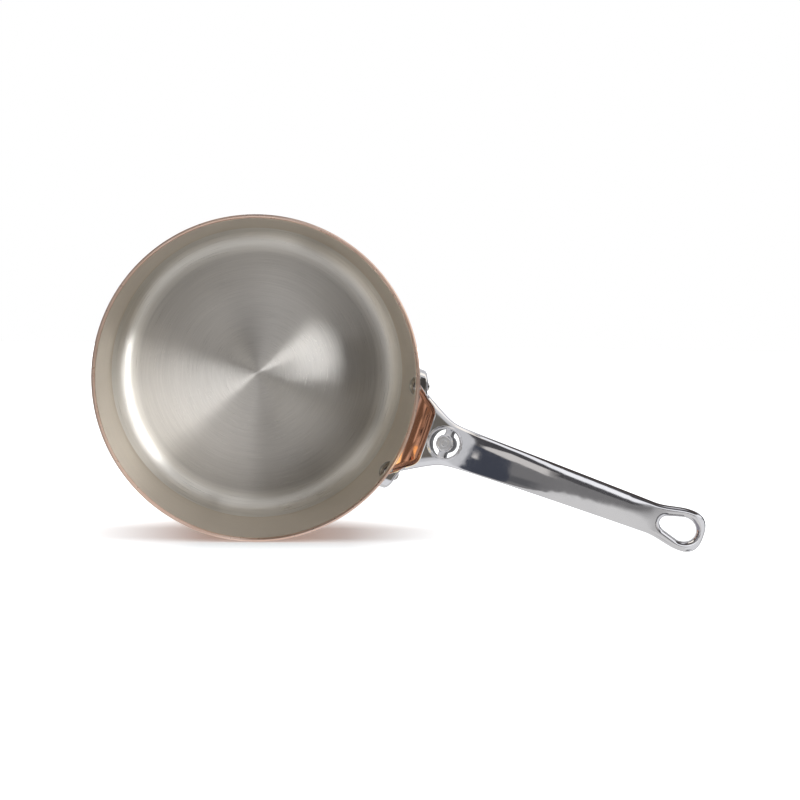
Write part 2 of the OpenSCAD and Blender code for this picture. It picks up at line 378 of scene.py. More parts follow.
def ring_field(x, y, z):
    """Distance to the ring: its outline less the eye, rounded over its whole thickness."""
    stem_x = np.minimum(x, RING_X)
    rate = (half_width(stem_x + RATE_STEP) - half_width(stem_x - RATE_STEP)) / 2 / RATE_STEP
    stem = (np.abs(y) - half_width(stem_x)) / np.sqrt(1 + np.where(x < RING_X, rate, 0.0) ** 2)
    a = np.maximum(x - RING_X, 0) / RING_GAP + TINY
    b = np.abs(y) / (RING_W / 2) + TINY
    q = (a ** RING_POWER + b ** RING_POWER) ** (1 / RING_POWER)
    slope = np.hypot(a ** (RING_POWER - 1) / RING_GAP, b ** (RING_POWER - 1) / (RING_W / 2))
    cap = (q - 1) / (slope * q ** (1 - RING_POWER))
    plan = np.maximum(np.where(x > RING_X, cap, stem), -egg_field(x, y))
    half = RING_T / 2
    level = np.abs(z - top_z(x) + half) - half
    return round_max(plan, level, RING_ROUND)


def flange_field(x, y, z):
    """Distance to the flange, a plate with round corners that follows the pan's wall."""
    across = np.abs(y) - (FLANGE_LEN / 2 - FLANGE_CORNER)
    up = np.abs(z - FLANGE_TOP + FLANGE_H / 2) - (FLANGE_H / 2 - FLANGE_CORNER)
    plate = np.hypot(np.maximum(across, 0), np.maximum(up, 0)) + np.minimum(np.maximum(across, up), 0)
    return round_max(plate - FLANGE_CORNER, np.hypot(PAN_R + x, y) - PAN_R - FLANGE_T, FLANGE_EDGE)


crease_z = float(top_z(np.array(CREASE_X)))
chord_len = math.hypot(CREASE_X, COVE_DEPTH)
chord_off = math.sqrt(COVE_R ** 2 - chord_len ** 2 / 4)
cove_x = (CREASE_X - 2 * chord_off * COVE_DEPTH / chord_len) / 2
cove_z = crease_z - (COVE_DEPTH - 2 * chord_off * CREASE_X / chord_len) / 2
badge_z = float(top_z(np.array(BADGE_X)))
badge_tilt = math.atan(float(top_z(np.array(BADGE_X + 1)) - top_z(np.array(BADGE_X - 1))) / 2)


def cove_field(x, y, z):
    """Distance to the space between the arms, whose floor is a hollow circle."""
    rate = (CREASE_W - COVE_W) / 2 / CREASE_X
    sides = (np.abs(y) - COVE_W / 2 - rate * x) / math.hypot(1, rate)
    below = np.hypot(x - cove_x, z - cove_z) - COVE_R
    floor = np.where(z > cove_z, x - cove_x - COVE_R, below)
    return round_max(sides, np.maximum(floor, x - CREASE_X), COVE_CORNER)


def under_field(x, y, z):
    """Distance to the hollow under the root, between two ribs and below a sloping web."""
    near = COVE_W / 2 - RIB_W
    far = (GRIP_W - 3 * RIB_W) / 2
    rate = (far - near) / HOLLOW_LEN
    sides = (np.abs(y) - near - rate * x) / math.hypot(1, rate)
    xs = [FLANGE_T, CREASE_X, BADGE_X, HOLLOW_LEN]
    hollow_top = float(top_z(np.array(HOLLOW_LEN)))
    zs = [
        crease_z - COVE_DEPTH - WEB_T / 2,
        crease_z - COVE_DEPTH / 4 - WEB_T,
        badge_z - WEB_T,
        hollow_top - GRIP_T,
    ]
    roof = (z - np.interp(x, xs, zs)) * 0.8
    ends = np.maximum(FLANGE_T - x, x - HOLLOW_LEN)
    return round_max(np.maximum(sides, ends), roof, UNDER_CORNER)


def badge_space(x, y, z):
    """A point's place along and over the badge's tilted plane, and its distance from its axis."""
    c, s = math.cos(badge_tilt), math.sin(badge_tilt)
    bx = (x - BADGE_X) * c + (z - badge_z) * s
    bz = (z - badge_z) * c - (x - BADGE_X) * s
    return bx, bz, np.hypot(bx, y)


def with_badge(field, x, y, z):
    """Adds the badge's lip and its grooved disc to a field, and cuts the two slots."""
    bx, bz, r = badge_space(x, y, z)
    base = -WEB_T - bz
    lip = round_max(r - SLOT_D / 2 - LIP_W, np.maximum(bz - LIP_H, base), LIP_EDGE)
    field = round_min(field, lip, LIP_FILLET)
    field = round_max(field, -round_max(r - SLOT_D / 2, -bz, WELL_CORNER), WELL_EDGE)
    disc = round_max(r - BADGE_D / 2, np.maximum(bz - LIP_H, base), DISC_EDGE)
    field = np.minimum(field, disc)
    for groove in GROOVES:
        field = np.maximum(field, GROOVE_R - np.hypot(r - groove, bz - LIP_H - GROOVE_UP))
    deep_x = bx + SLOT_LEAN * (bz - LIP_H)
    deep_r = np.hypot(deep_x, y)
    slot = np.maximum(deep_r - SLOT_D / 2, BADGE_D / 2 - deep_r)
    return round_max(field, -round_max(slot, BRIDGE_W / 2 - np.abs(deep_x), SLOT_CORNER), SLOT_EDGE)


def handle_field(x, y, z):
    """Signed distance to the whole casting, near enough to true close to its surface."""
    share = smooth((x - NECK_X + BLEND_BACK) / BLEND_LEN)
    field = mix(body_field(x, y, z), ring_field(x, y, z), share)
    field = round_min(field, flange_field(x, y, z), FLANGE_FILLET)
    field = round_max(field, -cove_field(x, y, z), COVE_EDGE)
    field = round_max(field, -under_field(x, y, z), UNDER_EDGE)
    field = with_badge(field, x, y, z)
    for side in (-1, 1):
        c, s = math.cos(RIVET_ANGLE), side * math.sin(RIVET_ANGLE)
        across = y * c - (PAN_R + x) * s
        bore = np.hypot(across, z - RIVET_Z) - (SHANK_D + SHANK_CLEAR) / 2
        field = np.maximum(field, -bore)
    return np.maximum(field, PAN_R - np.hypot(PAN_R + x, y)) + FIELD_SHRINK


SLOPE_STEP = 0.02
SLAB = 24


def handle_slope(points):
    """Gradient of the field at points, as rows."""
    x, y, z = points.T
    parts = []
    for axis in range(3):
        shift = [SLOPE_STEP if axis == k else 0.0 for k in range(3)]
        ahead = handle_field(x + shift[0], y + shift[1], z + shift[2])
        behind = handle_field(x - shift[0], y - shift[1], z - shift[2])
        parts.append((ahead - behind) / 2 / SLOPE_STEP)
    return np.stack(parts, axis=1)


def surface_net(xs, ys, lifts):
    """Quads of the field's zero surface on a grid whose layers follow the handle's top line. The
    field is worked out a slab of the grid at a time, to save memory."""
    tops = top_z(xs)
    shape = (len(xs), len(ys), len(lifts))
    values = np.empty(shape)
    for i in range(0, len(xs), SLAB):
        part = slice(i, i + SLAB)
        x = xs[part, None, None]
        values[part] = handle_field(x, ys[None, :, None], tops[part, None, None] + lifts[None, None, :])
    inside = values < 0
    total = np.zeros((shape[0] - 1, shape[1] - 1, shape[2] - 1, 3))
    hits = np.zeros((shape[0] - 1, shape[1] - 1, shape[2] - 1))
    corners = [(a, b, c) for a in (0, 1) for b in (0, 1) for c in (0, 1)]

    def corner(array, offset):
        a, b, c = offset
        return array[a:shape[0] - 1 + a, b:shape[1] - 1 + b, c:shape[2] - 1 + c]

    for axis in range(3):
        for start in corners:
            if start[axis]:
                continue
            stop = tuple(1 if k == axis else start[k] for k in range(3))
            va, vb = corner(values, start), corner(values, stop)
            cut = (va < 0) != (vb < 0)
            share = np.where(cut, va / np.where(cut, va - vb, 1.0), 0.0)
            hits += cut
            for k in range(3):
                total[..., k] += np.where(cut, start[k] + (share if k == axis else 0.0), 0.0)
    active = hits > 0
    ids = np.full(active.shape, -1, dtype=np.int64)
    ids[active] = np.arange(active.sum())
    where = np.argwhere(active)
    local = total[active] / hits[active][:, None]
    x = xs[where[:, 0]] + local[:, 0] * (xs[where[:, 0] + 1] - xs[where[:, 0]])
    y = ys[where[:, 1]] + local[:, 1] * (ys[where[:, 1] + 1] - ys[where[:, 1]])
    lift = lifts[where[:, 2]] + local[:, 2] * (lifts[where[:, 2] + 1] - lifts[where[:, 2]])
    points = np.stack([x, y, top_z(x) + lift], axis=1)
    quads = []
    for axis in range(3):
        others = [k for k in range(3) if k != axis]
        low = tuple(slice(0, -1) if k == axis else slice(1, -1) for k in range(3))
        high = tuple(slice(1, None) if k == axis else slice(1, -1) for k in range(3))
        start, stop = inside[low], inside[high]
        for leaving in (True, False):
            found = np.argwhere(start & ~stop if leaving else ~start & stop)
            base = found.copy()
            base[:, others] += 1
            ring = []
            for da, db in ((0, 0), (1, 0), (1, 1), (0, 1)):
                cell = base.copy()
                cell[:, others[0]] -= da
                cell[:, others[1]] -= db
                ring.append(ids[cell[:, 0], cell[:, 1], cell[:, 2]])
            face = np.stack(ring, axis=1)
            quads.append(face if leaving != (axis == 1) else face[:, ::-1])
    return points, np.concatenate(quads)


def grid_line(stops):
    """Grid places from (start, step) pairs; the last pair gives only the end."""
    line = []
    for (a, step), (b, _) in zip(stops, stops[1:]):
        line += spaced(a, b, step)
    return np.array(line + [stops[-1][0]])


# The net's points settle onto the surface in rounds, by no more than SETTLE_MOVE mm at a time
SETTLE_ROUNDS = 4
SETTLE_MOVE = 0.25
FLATTEST = 0.25

handle_xs = grid_line([(-9.0, 0.45), (34.0, 0.9), (134.0, 0.5), (187.0, 0.5)])
handle_ys = grid_line([(-41.0, 0.5), (-11.0, 0.38), (11.0, 0.5), (41.0, 0.5)])
handle_lifts = grid_line([(-21.0, 0.5), (-6.0, 0.4), (6.5, 0.4)])
points, quads = surface_net(handle_xs, handle_ys, handle_lifts)
for _ in range(SETTLE_ROUNDS):
    slope = handle_slope(points)
    size = np.maximum((slope ** 2).sum(axis=1), FLATTEST)
    move = handle_field(*points.T) / size
    points -= slope * np.clip(move, -SETTLE_MOVE, SETTLE_MOVE)[:, None]
slope = handle_slope(points)
slope /= np.maximum(np.linalg.norm(slope, axis=1), TINY)[:, None]
handle = make_object("cast_handle", points + (PAN_R, 0.0, 0.0), quads, slope)


# Rivets

DOME_STEPS = 16
BUTTON_STEPS = 12
RIVET_SEGMENTS = 64
RIVET_SHARP = math.radians(35)


def rivet(name, side):
    """One lathed rivet: domed head inside the pan, shank, and button on the flange."""
    face_r = PAN_R + FLANGE_T
    dome_r = (HEAD_D ** 2 / 4 + HEAD_H ** 2) / 2 / HEAD_H
    button_r = (BUTTON_D ** 2 / 4 + BUTTON_H ** 2) / 2 / BUTTON_H
    dome_spread = math.asin(HEAD_D / 2 / dome_r)
    button_spread = math.asin(BUTTON_D / 2 / button_r)
    # Each row is a ring's radius and its place along the rivet, or the wall that it lies on.
    rows = [(0.0, INNER_R - HEAD_H, None)]
    for i in range(1, DOME_STEPS + 1):
        a = dome_spread * i / DOME_STEPS
        rows.append((dome_r * math.sin(a), INNER_R - HEAD_H + dome_r * (1 - math.cos(a)), None))
    rows.append((HEAD_D / 2, 0.0, INNER_R))
    rows.append((SHANK_D / 2, 0.0, INNER_R))
    rows.append((SHANK_D / 2, 0.0, face_r))
    rows.append((BUTTON_D / 2, 0.0, face_r))
    for i in range(BUTTON_STEPS, 0, -1):
        a = button_spread * i / BUTTON_STEPS
        rows.append((button_r * math.sin(a), face_r + BUTTON_H - button_r * (1 - math.cos(a)), None))
    rows.append((0.0, face_r + BUTTON_H, None))
    turns = np.linspace(0, 2 * np.pi, RIVET_SEGMENTS, endpoint=False)
    c, s = math.cos(RIVET_ANGLE), side * math.sin(RIVET_ANGLE)
    verts, lines = [], []
    for radius, out, wall in rows:
        line = []
        for t in turns if radius else turns[:1]:
            across, up = radius * math.cos(t), radius * math.sin(t)
            reach = out if wall is None else math.sqrt(wall ** 2 - across ** 2)
            line.append(len(verts))
            verts.append((reach * c - across * s, reach * s + across * c, RIVET_Z + up))
        lines.append(line if len(line) > 1 else line * RIVET_SEGMENTS)
    piece = make_object(name, verts, skin(lines, RIVET_SEGMENTS, turned_over=True))
    piece.data.set_sharp_from_angle(angle=RIVET_SHARP)
    return piece


rivet_left = rivet("rivet_steel_left", 1)
rivet_right = rivet("rivet_steel_right", -1)


# Materials

def new_material(name):
    """A material with its nodes, links and Principled shader."""
    material = bpy.data.materials.new(name)
    material.use_nodes = True
    nodes = material.node_tree.nodes
    return material, nodes, material.node_tree.links, nodes["Principled BSDF"]


def add(nodes, kind, **values):
    """A new node with its settings."""
    node = nodes.new(kind)
    for key, value in values.items():
        setattr(node, key, value)
    return node


def maths(nodes, links, operation, *values):
    """One Math node's output. A value is a socket or a number."""
    node = add(nodes, "ShaderNodeMath", operation=operation)
    for socket, value in zip(node.inputs, values):
        if isinstance(value, (int, float)):
            socket.default_value = value
        else:
            links.new(value, socket)
    return node.outputs[0]


def mix_shaders(nodes, links, share, under, over):
    """The output of one Mix Shader node, which lays one shader over another."""
    node = add(nodes, "ShaderNodeMixShader")
    for socket, value in zip(node.inputs, (share, under, over)):
        links.new(value, socket)
    return node.outputs[0]


def bare_material(name):
    """A material whose tree holds only an output. Returns its surface socket too."""
    material = bpy.data.materials.new(name)
    material.use_nodes = True
    nodes, links = material.node_tree.nodes, material.node_tree.links
    nodes.clear()
    return material, nodes, links, add(nodes, "ShaderNodeOutputMaterial").inputs["Surface"]


def ramp_node(nodes, stops):
    """A colour ramp from (place, (r, g, b)) stops."""
    node = nodes.new("ShaderNodeValToRGB")
    ramp_data = node.color_ramp
    while len(ramp_data.elements) < len(stops):
        ramp_data.elements.new(1.0)
    for element, (place, colour) in zip(ramp_data.elements, stops):
        element.position = place
        element.color = (*colour, 1.0)
    return node


def rings_vector(nodes, links, along, around):
    """Coordinates that run fast with the distance from the pan's axis, less the height, and
    slowly round it. Returns that distance too."""
    place = add(nodes, "ShaderNodeNewGeometry")
    parts = add(nodes, "ShaderNodeSeparateXYZ")
    links.new(place.outputs["Position"], parts.inputs[0])
    flat = add(nodes, "ShaderNodeCombineXYZ")
    links.new(parts.outputs["X"], flat.inputs["X"])
    links.new(parts.outputs["Y"], flat.inputs["Y"])
    radius = add(nodes, "ShaderNodeVectorMath", operation="LENGTH")
    links.new(flat.outputs[0], radius.inputs[0])
    unit = add(nodes, "ShaderNodeVectorMath", operation="NORMALIZE")
    links.new(flat.outputs[0], unit.inputs[0])
    round_part = add(nodes, "ShaderNodeVectorMath", operation="SCALE")
    links.new(unit.outputs[0], round_part.inputs[0])
    round_part.inputs["Scale"].default_value = around
    depth = maths(nodes, links, "SUBTRACT", radius.outputs["Value"], parts.outputs["Z"])
    up = add(nodes, "ShaderNodeCombineXYZ")
    links.new(maths(nodes, links, "MULTIPLY", depth, along), up.inputs["Z"])
    total = add(nodes, "ShaderNodeVectorMath", operation="ADD")
    links.new(round_part.outputs[0], total.inputs[0])
    links.new(up.outputs[0], total.inputs[1])
    return total.outputs[0], radius.outputs["Value"]


def noise(nodes, links, vector, scale, detail, roughness=0.5):
    """The grey output of a noise texture."""
    node = add(nodes, "ShaderNodeTexNoise")
    node.inputs["Scale"].default_value = scale
    node.inputs["Detail"].default_value = detail
    node.inputs["Roughness"].default_value = roughness
    links.new(vector, node.inputs["Vector"])
    return node.outputs["Fac"]


def spread(nodes, links, value, low, high, start=0.3, stop=0.7):
    """Maps the values from start to stop onto low to high."""
    node = add(nodes, "ShaderNodeMapRange")
    node.inputs["From Min"].default_value = start
    node.inputs["From Max"].default_value = stop
    node.inputs["To Min"].default_value = low
    node.inputs["To Max"].default_value = high
    links.new(value, node.inputs["Value"])
    return node.outputs["Result"]


def add_bump(nodes, links, shader, height, strength, height_mm):
    bump = add(nodes, "ShaderNodeBump")
    bump.inputs["Strength"].default_value = strength
    bump.inputs["Distance"].default_value = height_mm * MM
    links.new(height, bump.inputs["Height"])
    links.new(bump.outputs["Normal"], shader.inputs["Normal"])


# How fast the brushed rings' noise runs across them, per metre, and round the pan's axis
FINE_RINGS = (5200.0, 2.2)
SLOW_RINGS = (700.0, 1.6)
FINE_SHARE = 0.75
# The rings darken and lighten the steel within these shares of its colour
RING_TONES = (0.86, 1.08)
BRUSHED_STRENGTH = 0.2
# A quarter turn, so that the gloss is stretched across the rings
BRUSHED_TURN = 0.25


def spun_steel(name, tones, anisotropy, rough_low, rough_high, bump_mm):
    """Circularly brushed steel: fine rings in colour, gloss and height. The tones are pairs of
    a distance from the pan's axis in metres and a colour."""
    material, nodes, links, shader = new_material(name)
    vector, radius = rings_vector(nodes, links, *FINE_RINGS)
    fine = noise(nodes, links, vector, scale=1.0, detail=3.0, roughness=0.6)
    slow_vector, _ = rings_vector(nodes, links, *SLOW_RINGS)
    slow = noise(nodes, links, slow_vector, scale=1.0, detail=2.0)
    slow = maths(nodes, links, "MULTIPLY", slow, 1 - FINE_SHARE)
    blend = maths(nodes, links, "MULTIPLY_ADD", fine, FINE_SHARE, slow)
    far = tones[-1][0]
    tone = ramp_node(nodes, [(place / far, colour) for place, colour in tones])
    links.new(maths(nodes, links, "DIVIDE", radius, far), tone.inputs["Fac"])
    shaded = add(nodes, "ShaderNodeVectorMath", operation="SCALE")
    links.new(tone.outputs["Color"], shaded.inputs[0])
    links.new(spread(nodes, links, blend, *RING_TONES), shaded.inputs["Scale"])
    links.new(shaded.outputs[0], shader.inputs["Base Color"])
    links.new(spread(nodes, links, fine, rough_low, rough_high), shader.inputs["Roughness"])
    shader.inputs["Metallic"].default_value = 1.0
    shader.inputs["Anisotropic"].default_value = anisotropy
    shader.inputs["Anisotropic Rotation"].default_value = BRUSHED_TURN
    tangent = add(nodes, "ShaderNodeTangent", direction_type="RADIAL", axis="Z")
    links.new(tangent.outputs[0], shader.inputs["Tangent"])
    add_bump(nodes, links, shader, fine, BRUSHED_STRENGTH, bump_mm)
    return material


# The floor's steel is painted darker towards the floor's edge, as painted shade, and lighter in the corner
# round, as a painted highlight. The wall's steel has one tone.
FLOOR_TONE = (0.685, 0.665, 0.635)
FLOOR_EDGE_SHADE_TONE = (0.56, 0.545, 0.52)
CORNER_HIGHLIGHT_TONE = (0.90, 0.88, 0.83)
WALL_TONE = (0.80, 0.73, 0.63)
floor_steel = spun_steel(
    "brushed_floor",
    [(0.0, FLOOR_TONE), (0.055, FLOOR_TONE), (0.080, FLOOR_EDGE_SHADE_TONE), (0.087, CORNER_HIGHLIGHT_TONE), (0.1, CORNER_HIGHLIGHT_TONE)],
    anisotropy=1.0, rough_low=0.27, rough_high=0.31, bump_mm=0.01,
)
wall_steel = spun_steel(
    "spun_wall",
    [(0.0, WALL_TONE), (0.1, WALL_TONE)],
    anisotropy=0.5, rough_low=0.42, rough_high=0.48, bump_mm=0.008,
)


# Noise scales per metre, of the colour's clouds and of the wipe marks in the gloss
CLOUD_SCALE = 42.0
WIPE_SCALE = 310.0
# The noise values at which the clouds are darkest and lightest
CLOUD_STOPS = (0.35, 0.65)


def polished(name, base, dark, rough_low, rough_high, wave_mm, wave_scale):
    """Polished metal: faint clouds in its colour and gloss, and a slow waviness."""
    material, nodes, links, shader = new_material(name)
    vector = add(nodes, "ShaderNodeTexCoord").outputs["Object"]
    cloud = noise(nodes, links, vector, CLOUD_SCALE, detail=4.0)
    colours = ramp_node(nodes, list(zip(CLOUD_STOPS, (dark, base))))
    links.new(cloud, colours.inputs["Fac"])
    links.new(colours.outputs["Color"], shader.inputs["Base Color"])
    wipe = noise(nodes, links, vector, WIPE_SCALE, detail=3.0)
    links.new(spread(nodes, links, wipe, rough_low, rough_high), shader.inputs["Roughness"])
    shader.inputs["Metallic"].default_value = 1.0
    wave = noise(nodes, links, vector, wave_scale, detail=1.5)
    add_bump(nodes, links, shader, wave, 1.0, wave_mm)
    return material


# Each metal has a colour and a darker one, its lowest and highest roughness, and the height in
# mm and the scale per metre of its waviness.
cast_steel = polished("polished_cast_steel", (0.80, 0.80, 0.82), (0.74, 0.74, 0.765), 0.05, 0.09, 0.07, 80.0)
rivet_metal = polished("rivet_steel", (0.56, 0.54, 0.51), (0.44, 0.42, 0.40), 0.06, 0.10, 0.05, 260.0)
copper = polished("polished_copper", (0.84, 0.42, 0.255), (0.76, 0.36, 0.21), 0.08, 0.13, 0.05, 60.0)
etched = polished("etched_disc", (0.80, 0.80, 0.81), (0.66, 0.66, 0.67), 0.30, 0.42, 0.03, 700.0)
# The slots' walls are rough cast steel whose dark colour is painted shade inside the narrow slots.
slot_painted_shade = polished("cast_slot_painted_shade", (0.24, 0.24, 0.25), (0.15, 0.15, 0.16), 0.42, 0.55, 0.05, 400.0)
cut_copper = polished("cut_copper_edge", (0.93, 0.71, 0.60), (0.86, 0.62, 0.50), 0.26, 0.36, 0.05, 300.0)

for piece, *metals in (
    (shell, copper, cut_copper),
    (lining, floor_steel, wall_steel),
    (handle, cast_steel, etched, slot_painted_shade),
    (rivet_left, rivet_metal),
    (rivet_right, rivet_metal),
):
    for metal in metals:
        piece.data.materials.append(metal)

# Above these heights in mm the lining is the wall's steel and the copper is the rim's cut edge
WALL_STEEL_Z = lining_floor + CORNER_R * 0.8
CUT_EDGE_Z = rim_z + RIM_R * 0.25
# The slots' walls, rough cast steel painted dark as the shade inside the narrow slots: their heights over
# the badge's plane, and their distances out from the disc
SLOT_WALL_Z = (-WEB_T - 1, -0.15)
SLOT_WALL_R = (-0.25, SLOT_D / 2 - BADGE_D / 2 + 0.5)

for piece, height in ((lining, WALL_STEEL_Z), (shell, CUT_EDGE_Z)):
    for polygon in piece.data.polygons:
        if polygon.center.z > height * MM:
            polygon.material_index = 1
for polygon in handle.data.polygons:
    x, y, z = polygon.center / MM
    bx, bz, r = badge_space(x - PAN_R, y, z)
    deep_x = bx + SLOT_LEAN * (bz - LIP_H)
    deep_r = math.hypot(deep_x, y)
    if r < GROOVES[-1] and bz > 0:
        polygon.material_index = 1
    elif (SLOT_WALL_Z[0] < bz < SLOT_WALL_Z[1]
            and SLOT_WALL_R[0] < deep_r - BADGE_D / 2 < SLOT_WALL_R[1]):
        polygon.material_index = 2

for piece, node, slot in (
    (shell, "copper_shell", "copper"),
    (lining, "steel_lining", "lining_steel"),
    (handle, "handle", "cast_steel"),
    (rivet_left, "rivet_left", "rivet_steel"),
    (rivet_right, "rivet_right", "rivet_steel"),
):
    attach(piece, "root")
    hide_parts(node)


# Stage and light

# The table stands upright beside the pan's wall, because the picture looks down into the pan and
# still shows its shadow below. It is clear from behind.
TABLE_ANGLE = math.radians(-71.5)
TABLE_OUT = Vector((math.cos(TABLE_ANGLE), math.sin(TABLE_ANGLE), 0.0))
TABLE_SIDE = Vector((-math.sin(TABLE_ANGLE), math.cos(TABLE_ANGLE), 0.0))
TABLE_PLACE = PAN_R * MM + 0.0004
TABLE_REACH = 6.0
TABLE_COLOUR = (0.765, 0.80, 0.82, 1.0)
# The table's own glow is painted light. It is weakest beside the pan, so that the real shadow shows there
# deepened and fades out away from it. Each row holds the glow from and to, and the start and stop in metres:
# up from the base, near and past the rim, and off to the sides.
TABLE_GLOW = ((0.42, 0.0, 0.0, 0.048), (0.0, 0.5, 0.092, 0.15), (0.11, 0.60, 0.045, 0.125))
# The shadow's middle lies this far to the handle's side of the pan's axis, in metres
SHADOW_SIDE = 0.012

table_mesh = bpy.data.meshes.new("table")
corners = []
for along, high in ((-1, -1), (-1, 1), (1, 1), (1, -1)):
    reach = TABLE_SIDE * along * TABLE_REACH + Vector((0, 0, high * TABLE_REACH))
    corners.append(TABLE_OUT * TABLE_PLACE + reach)
table_mesh.from_pydata([tuple(c) for c in corners], [], [(0, 1, 2, 3)])
table_mesh.update()
if table_mesh.polygons[0].normal.dot(TABLE_OUT) > 0:
    table_mesh.flip_normals()
table = link_object("table", table_mesh)
table.visible_glossy = False

material, nodes, links, surface = bare_material("table_white")
diffuse = add(nodes, "ShaderNodeBsdfDiffuse")
diffuse.inputs["Color"].default_value = TABLE_COLOUR
paths = add(nodes, "ShaderNodeLightPath")
seen = maths(nodes, links, "ADD", paths.outputs["Is Camera Ray"], paths.outputs["Is Glossy Ray"])
seen = maths(nodes, links, "ADD", seen, paths.outputs["Is Transmission Ray"])
where = add(nodes, "ShaderNodeNewGeometry")
height = add(nodes, "ShaderNodeSeparateXYZ")
links.new(where.outputs["Position"], height.inputs[0])
off_side = add(nodes, "ShaderNodeVectorMath", operation="DOT_PRODUCT")
links.new(where.outputs["Position"], off_side.inputs[0])
off_side.inputs[1].default_value = TABLE_SIDE
off_middle = maths(nodes, links, "SUBTRACT", off_side.outputs["Value"], SHADOW_SIDE)
off_middle = maths(nodes, links, "ABSOLUTE", off_middle)
places = (height.outputs["Z"], height.outputs["Z"], off_middle)
glow_parts = [spread(nodes, links, spot, *row) for spot, row in zip(places, TABLE_GLOW)]
glow_sum = glow_parts[0]
for glow_part in glow_parts[1:]:
    glow_sum = maths(nodes, links, "ADD", glow_sum, glow_part)
# Painted light: the glow whitens the table away from the pan and leaves its shadow beside it.
glow = add(nodes, "ShaderNodeEmission")
links.new(maths(nodes, links, "MULTIPLY", seen, glow_sum), glow.inputs["Strength"])
both = add(nodes, "ShaderNodeAddShader")
links.new(diffuse.outputs[0], both.inputs[0])
links.new(glow.outputs[0], both.inputs[1])
clear = add(nodes, "ShaderNodeBsdfTransparent").outputs[0]
links.new(mix_shaders(nodes, links, where.outputs["Backfacing"], both.outputs[0], clear), surface)
table_mesh.materials.append(material)


LAMP_AIM = Vector((0.0, 0.0, 0.05))


def area_light(name, tilt, azimuth, distance, across, along, power):
    """A soft rectangle of light that leans tilt degrees from +Z towards an azimuth. It faces
    LAMP_AIM from a distance in metres, and its side "across" lies level."""
    t, a = math.radians(tilt), math.radians(azimuth)
    out_way = Vector((math.sin(t) * math.cos(a), math.sin(t) * math.sin(a), math.cos(t)))
    side_way = Vector((-math.sin(a), math.cos(a), 0.0))
    turn_way = Matrix((side_way, out_way.cross(side_way), out_way)).transposed().to_4x4()
    data = bpy.data.lights.new(name, "AREA")
    data.shape = "RECTANGLE"
    data.size = across
    data.size_y = along
    data.energy = power
    lamp = bpy.data.objects.new(name, data)
    lamp.matrix_world = Matrix.Translation(out_way * distance + LAMP_AIM) @ turn_way
    bpy.context.scene.collection.objects.link(lamp)
    return lamp


# The key light is a narrow strip that grazes the pan's inside alone.
key = area_light("key", tilt=24.8, azimuth=29.0, distance=1.6, across=0.75, along=0.20, power=5.5)
lit_by_key = bpy.data.collections.new("lit_by_key")
lit_by_key.objects.link(lining)
key.light_linking.receiver_collection = lit_by_key

CARD_STEPS = 24


def stage_card(name, rails, colour, soft):
    """A flat card between two rails of points in millimetres, which only shiny surfaces see.
    Soft is the share of its half width over which its edges fade."""
    steps = len(rails[0]) - 1
    mesh = bpy.data.meshes.new(name)
    points = [tuple(spot * MM) for rail in rails for spot in rail]
    mesh.from_pydata(points, [], [(i, i + 1, i + steps + 2, i + steps + 1) for i in range(steps)])
    marks = [(j / steps, side) for i in range(steps) for j, side in ((i, 0), (i + 1, 0), (i + 1, 1), (i, 1))]
    mesh.uv_layers.new(name="UVMap").data.foreach_set("uv", [part for mark in marks for part in mark])
    mesh.update()
    piece = link_object(name, mesh)
    for kind in ("camera", "diffuse", "transmission", "volume_scatter", "shadow"):
        setattr(piece, "visible_" + kind, False)
    paint_card, card_nodes, card_links, card_surface = bare_material(name)
    shine = add(card_nodes, "ShaderNodeEmission")
    shine.inputs["Color"].default_value = (*colour, 1.0)
    spot = add(card_nodes, "ShaderNodeSeparateXYZ")
    card_links.new(add(card_nodes, "ShaderNodeUVMap").outputs[0], spot.inputs[0])
    inner = []
    for axis in ("X", "Y"):
        off_edge = maths(card_nodes, card_links, "PINGPONG", spot.outputs[axis], 0.5)
        inner.append(spread(card_nodes, card_links, off_edge, 0.0, 1.0, 0.0, soft / 2))
    cover = maths(card_nodes, card_links, "MULTIPLY", *inner)
    clear_card = add(card_nodes, "ShaderNodeBsdfTransparent").outputs[0]
    card_links.new(mix_shaders(card_nodes, card_links, cover, clear_card, shine.outputs[0]), card_surface)
    mesh.materials.append(paint_card)


def card(name, corner, along, across, colour, soft):
    """A card with straight sides, from a corner and its two sides."""
    corner, along, across = Vector(corner), Vector(along), Vector(across)
    stage_card(name, [[corner, corner + along], [corner + across, corner + along + across]], colour, soft)


def bent_card(name, radii, bearings, height, colour, soft):
    """A card that bends round the pan's axis, between two radii and two bearings in degrees."""
    first, last = (math.radians(bearing) for bearing in bearings)
    turns = [first + (last - first) * i / CARD_STEPS for i in range(CARD_STEPS + 1)]
    rails = [[Vector((r * math.cos(turn), r * math.sin(turn), height)) for turn in turns] for r in radii]
    stage_card(name, rails, colour, soft)


# These cards are dark and glowing sheets that only shiny surfaces see. They paint shade and highlights into
# what the pan's inside, its rim, the cove, a lug and the ring reflect. The far way runs away from the handle
# and a little towards +Y, and the near way crosses it.
FAR_WAY = Vector((-0.901, 0.432, 0.0))
NEAR_WAY = Vector((0.432, 0.901, 0.0))
UP_WAY = Vector((0.0, 0.0, 1.0))
SHADOW = (0.06, 0.055, 0.05)
DUSK = (0.12, 0.115, 0.115)
HAZE = (0.74, 0.72, 0.70)
ASH = (0.34, 0.33, 0.31)
CREAM = (1.0, 0.98, 0.94)
WARM_GREY = (0.42, 0.38, 0.33)
GOLD = (2.0, 1.6, 0.85)
CANDLE = (1.25, 1.18, 1.08)
PALE_GREY = (0.75, 0.73, 0.71)
SILVER = (0.80, 0.80, 0.81)
NIGHT = (0.04, 0.04, 0.045)
high_corner = FAR_WAY * 130 - NEAR_WAY * 260 + UP_WAY * 400
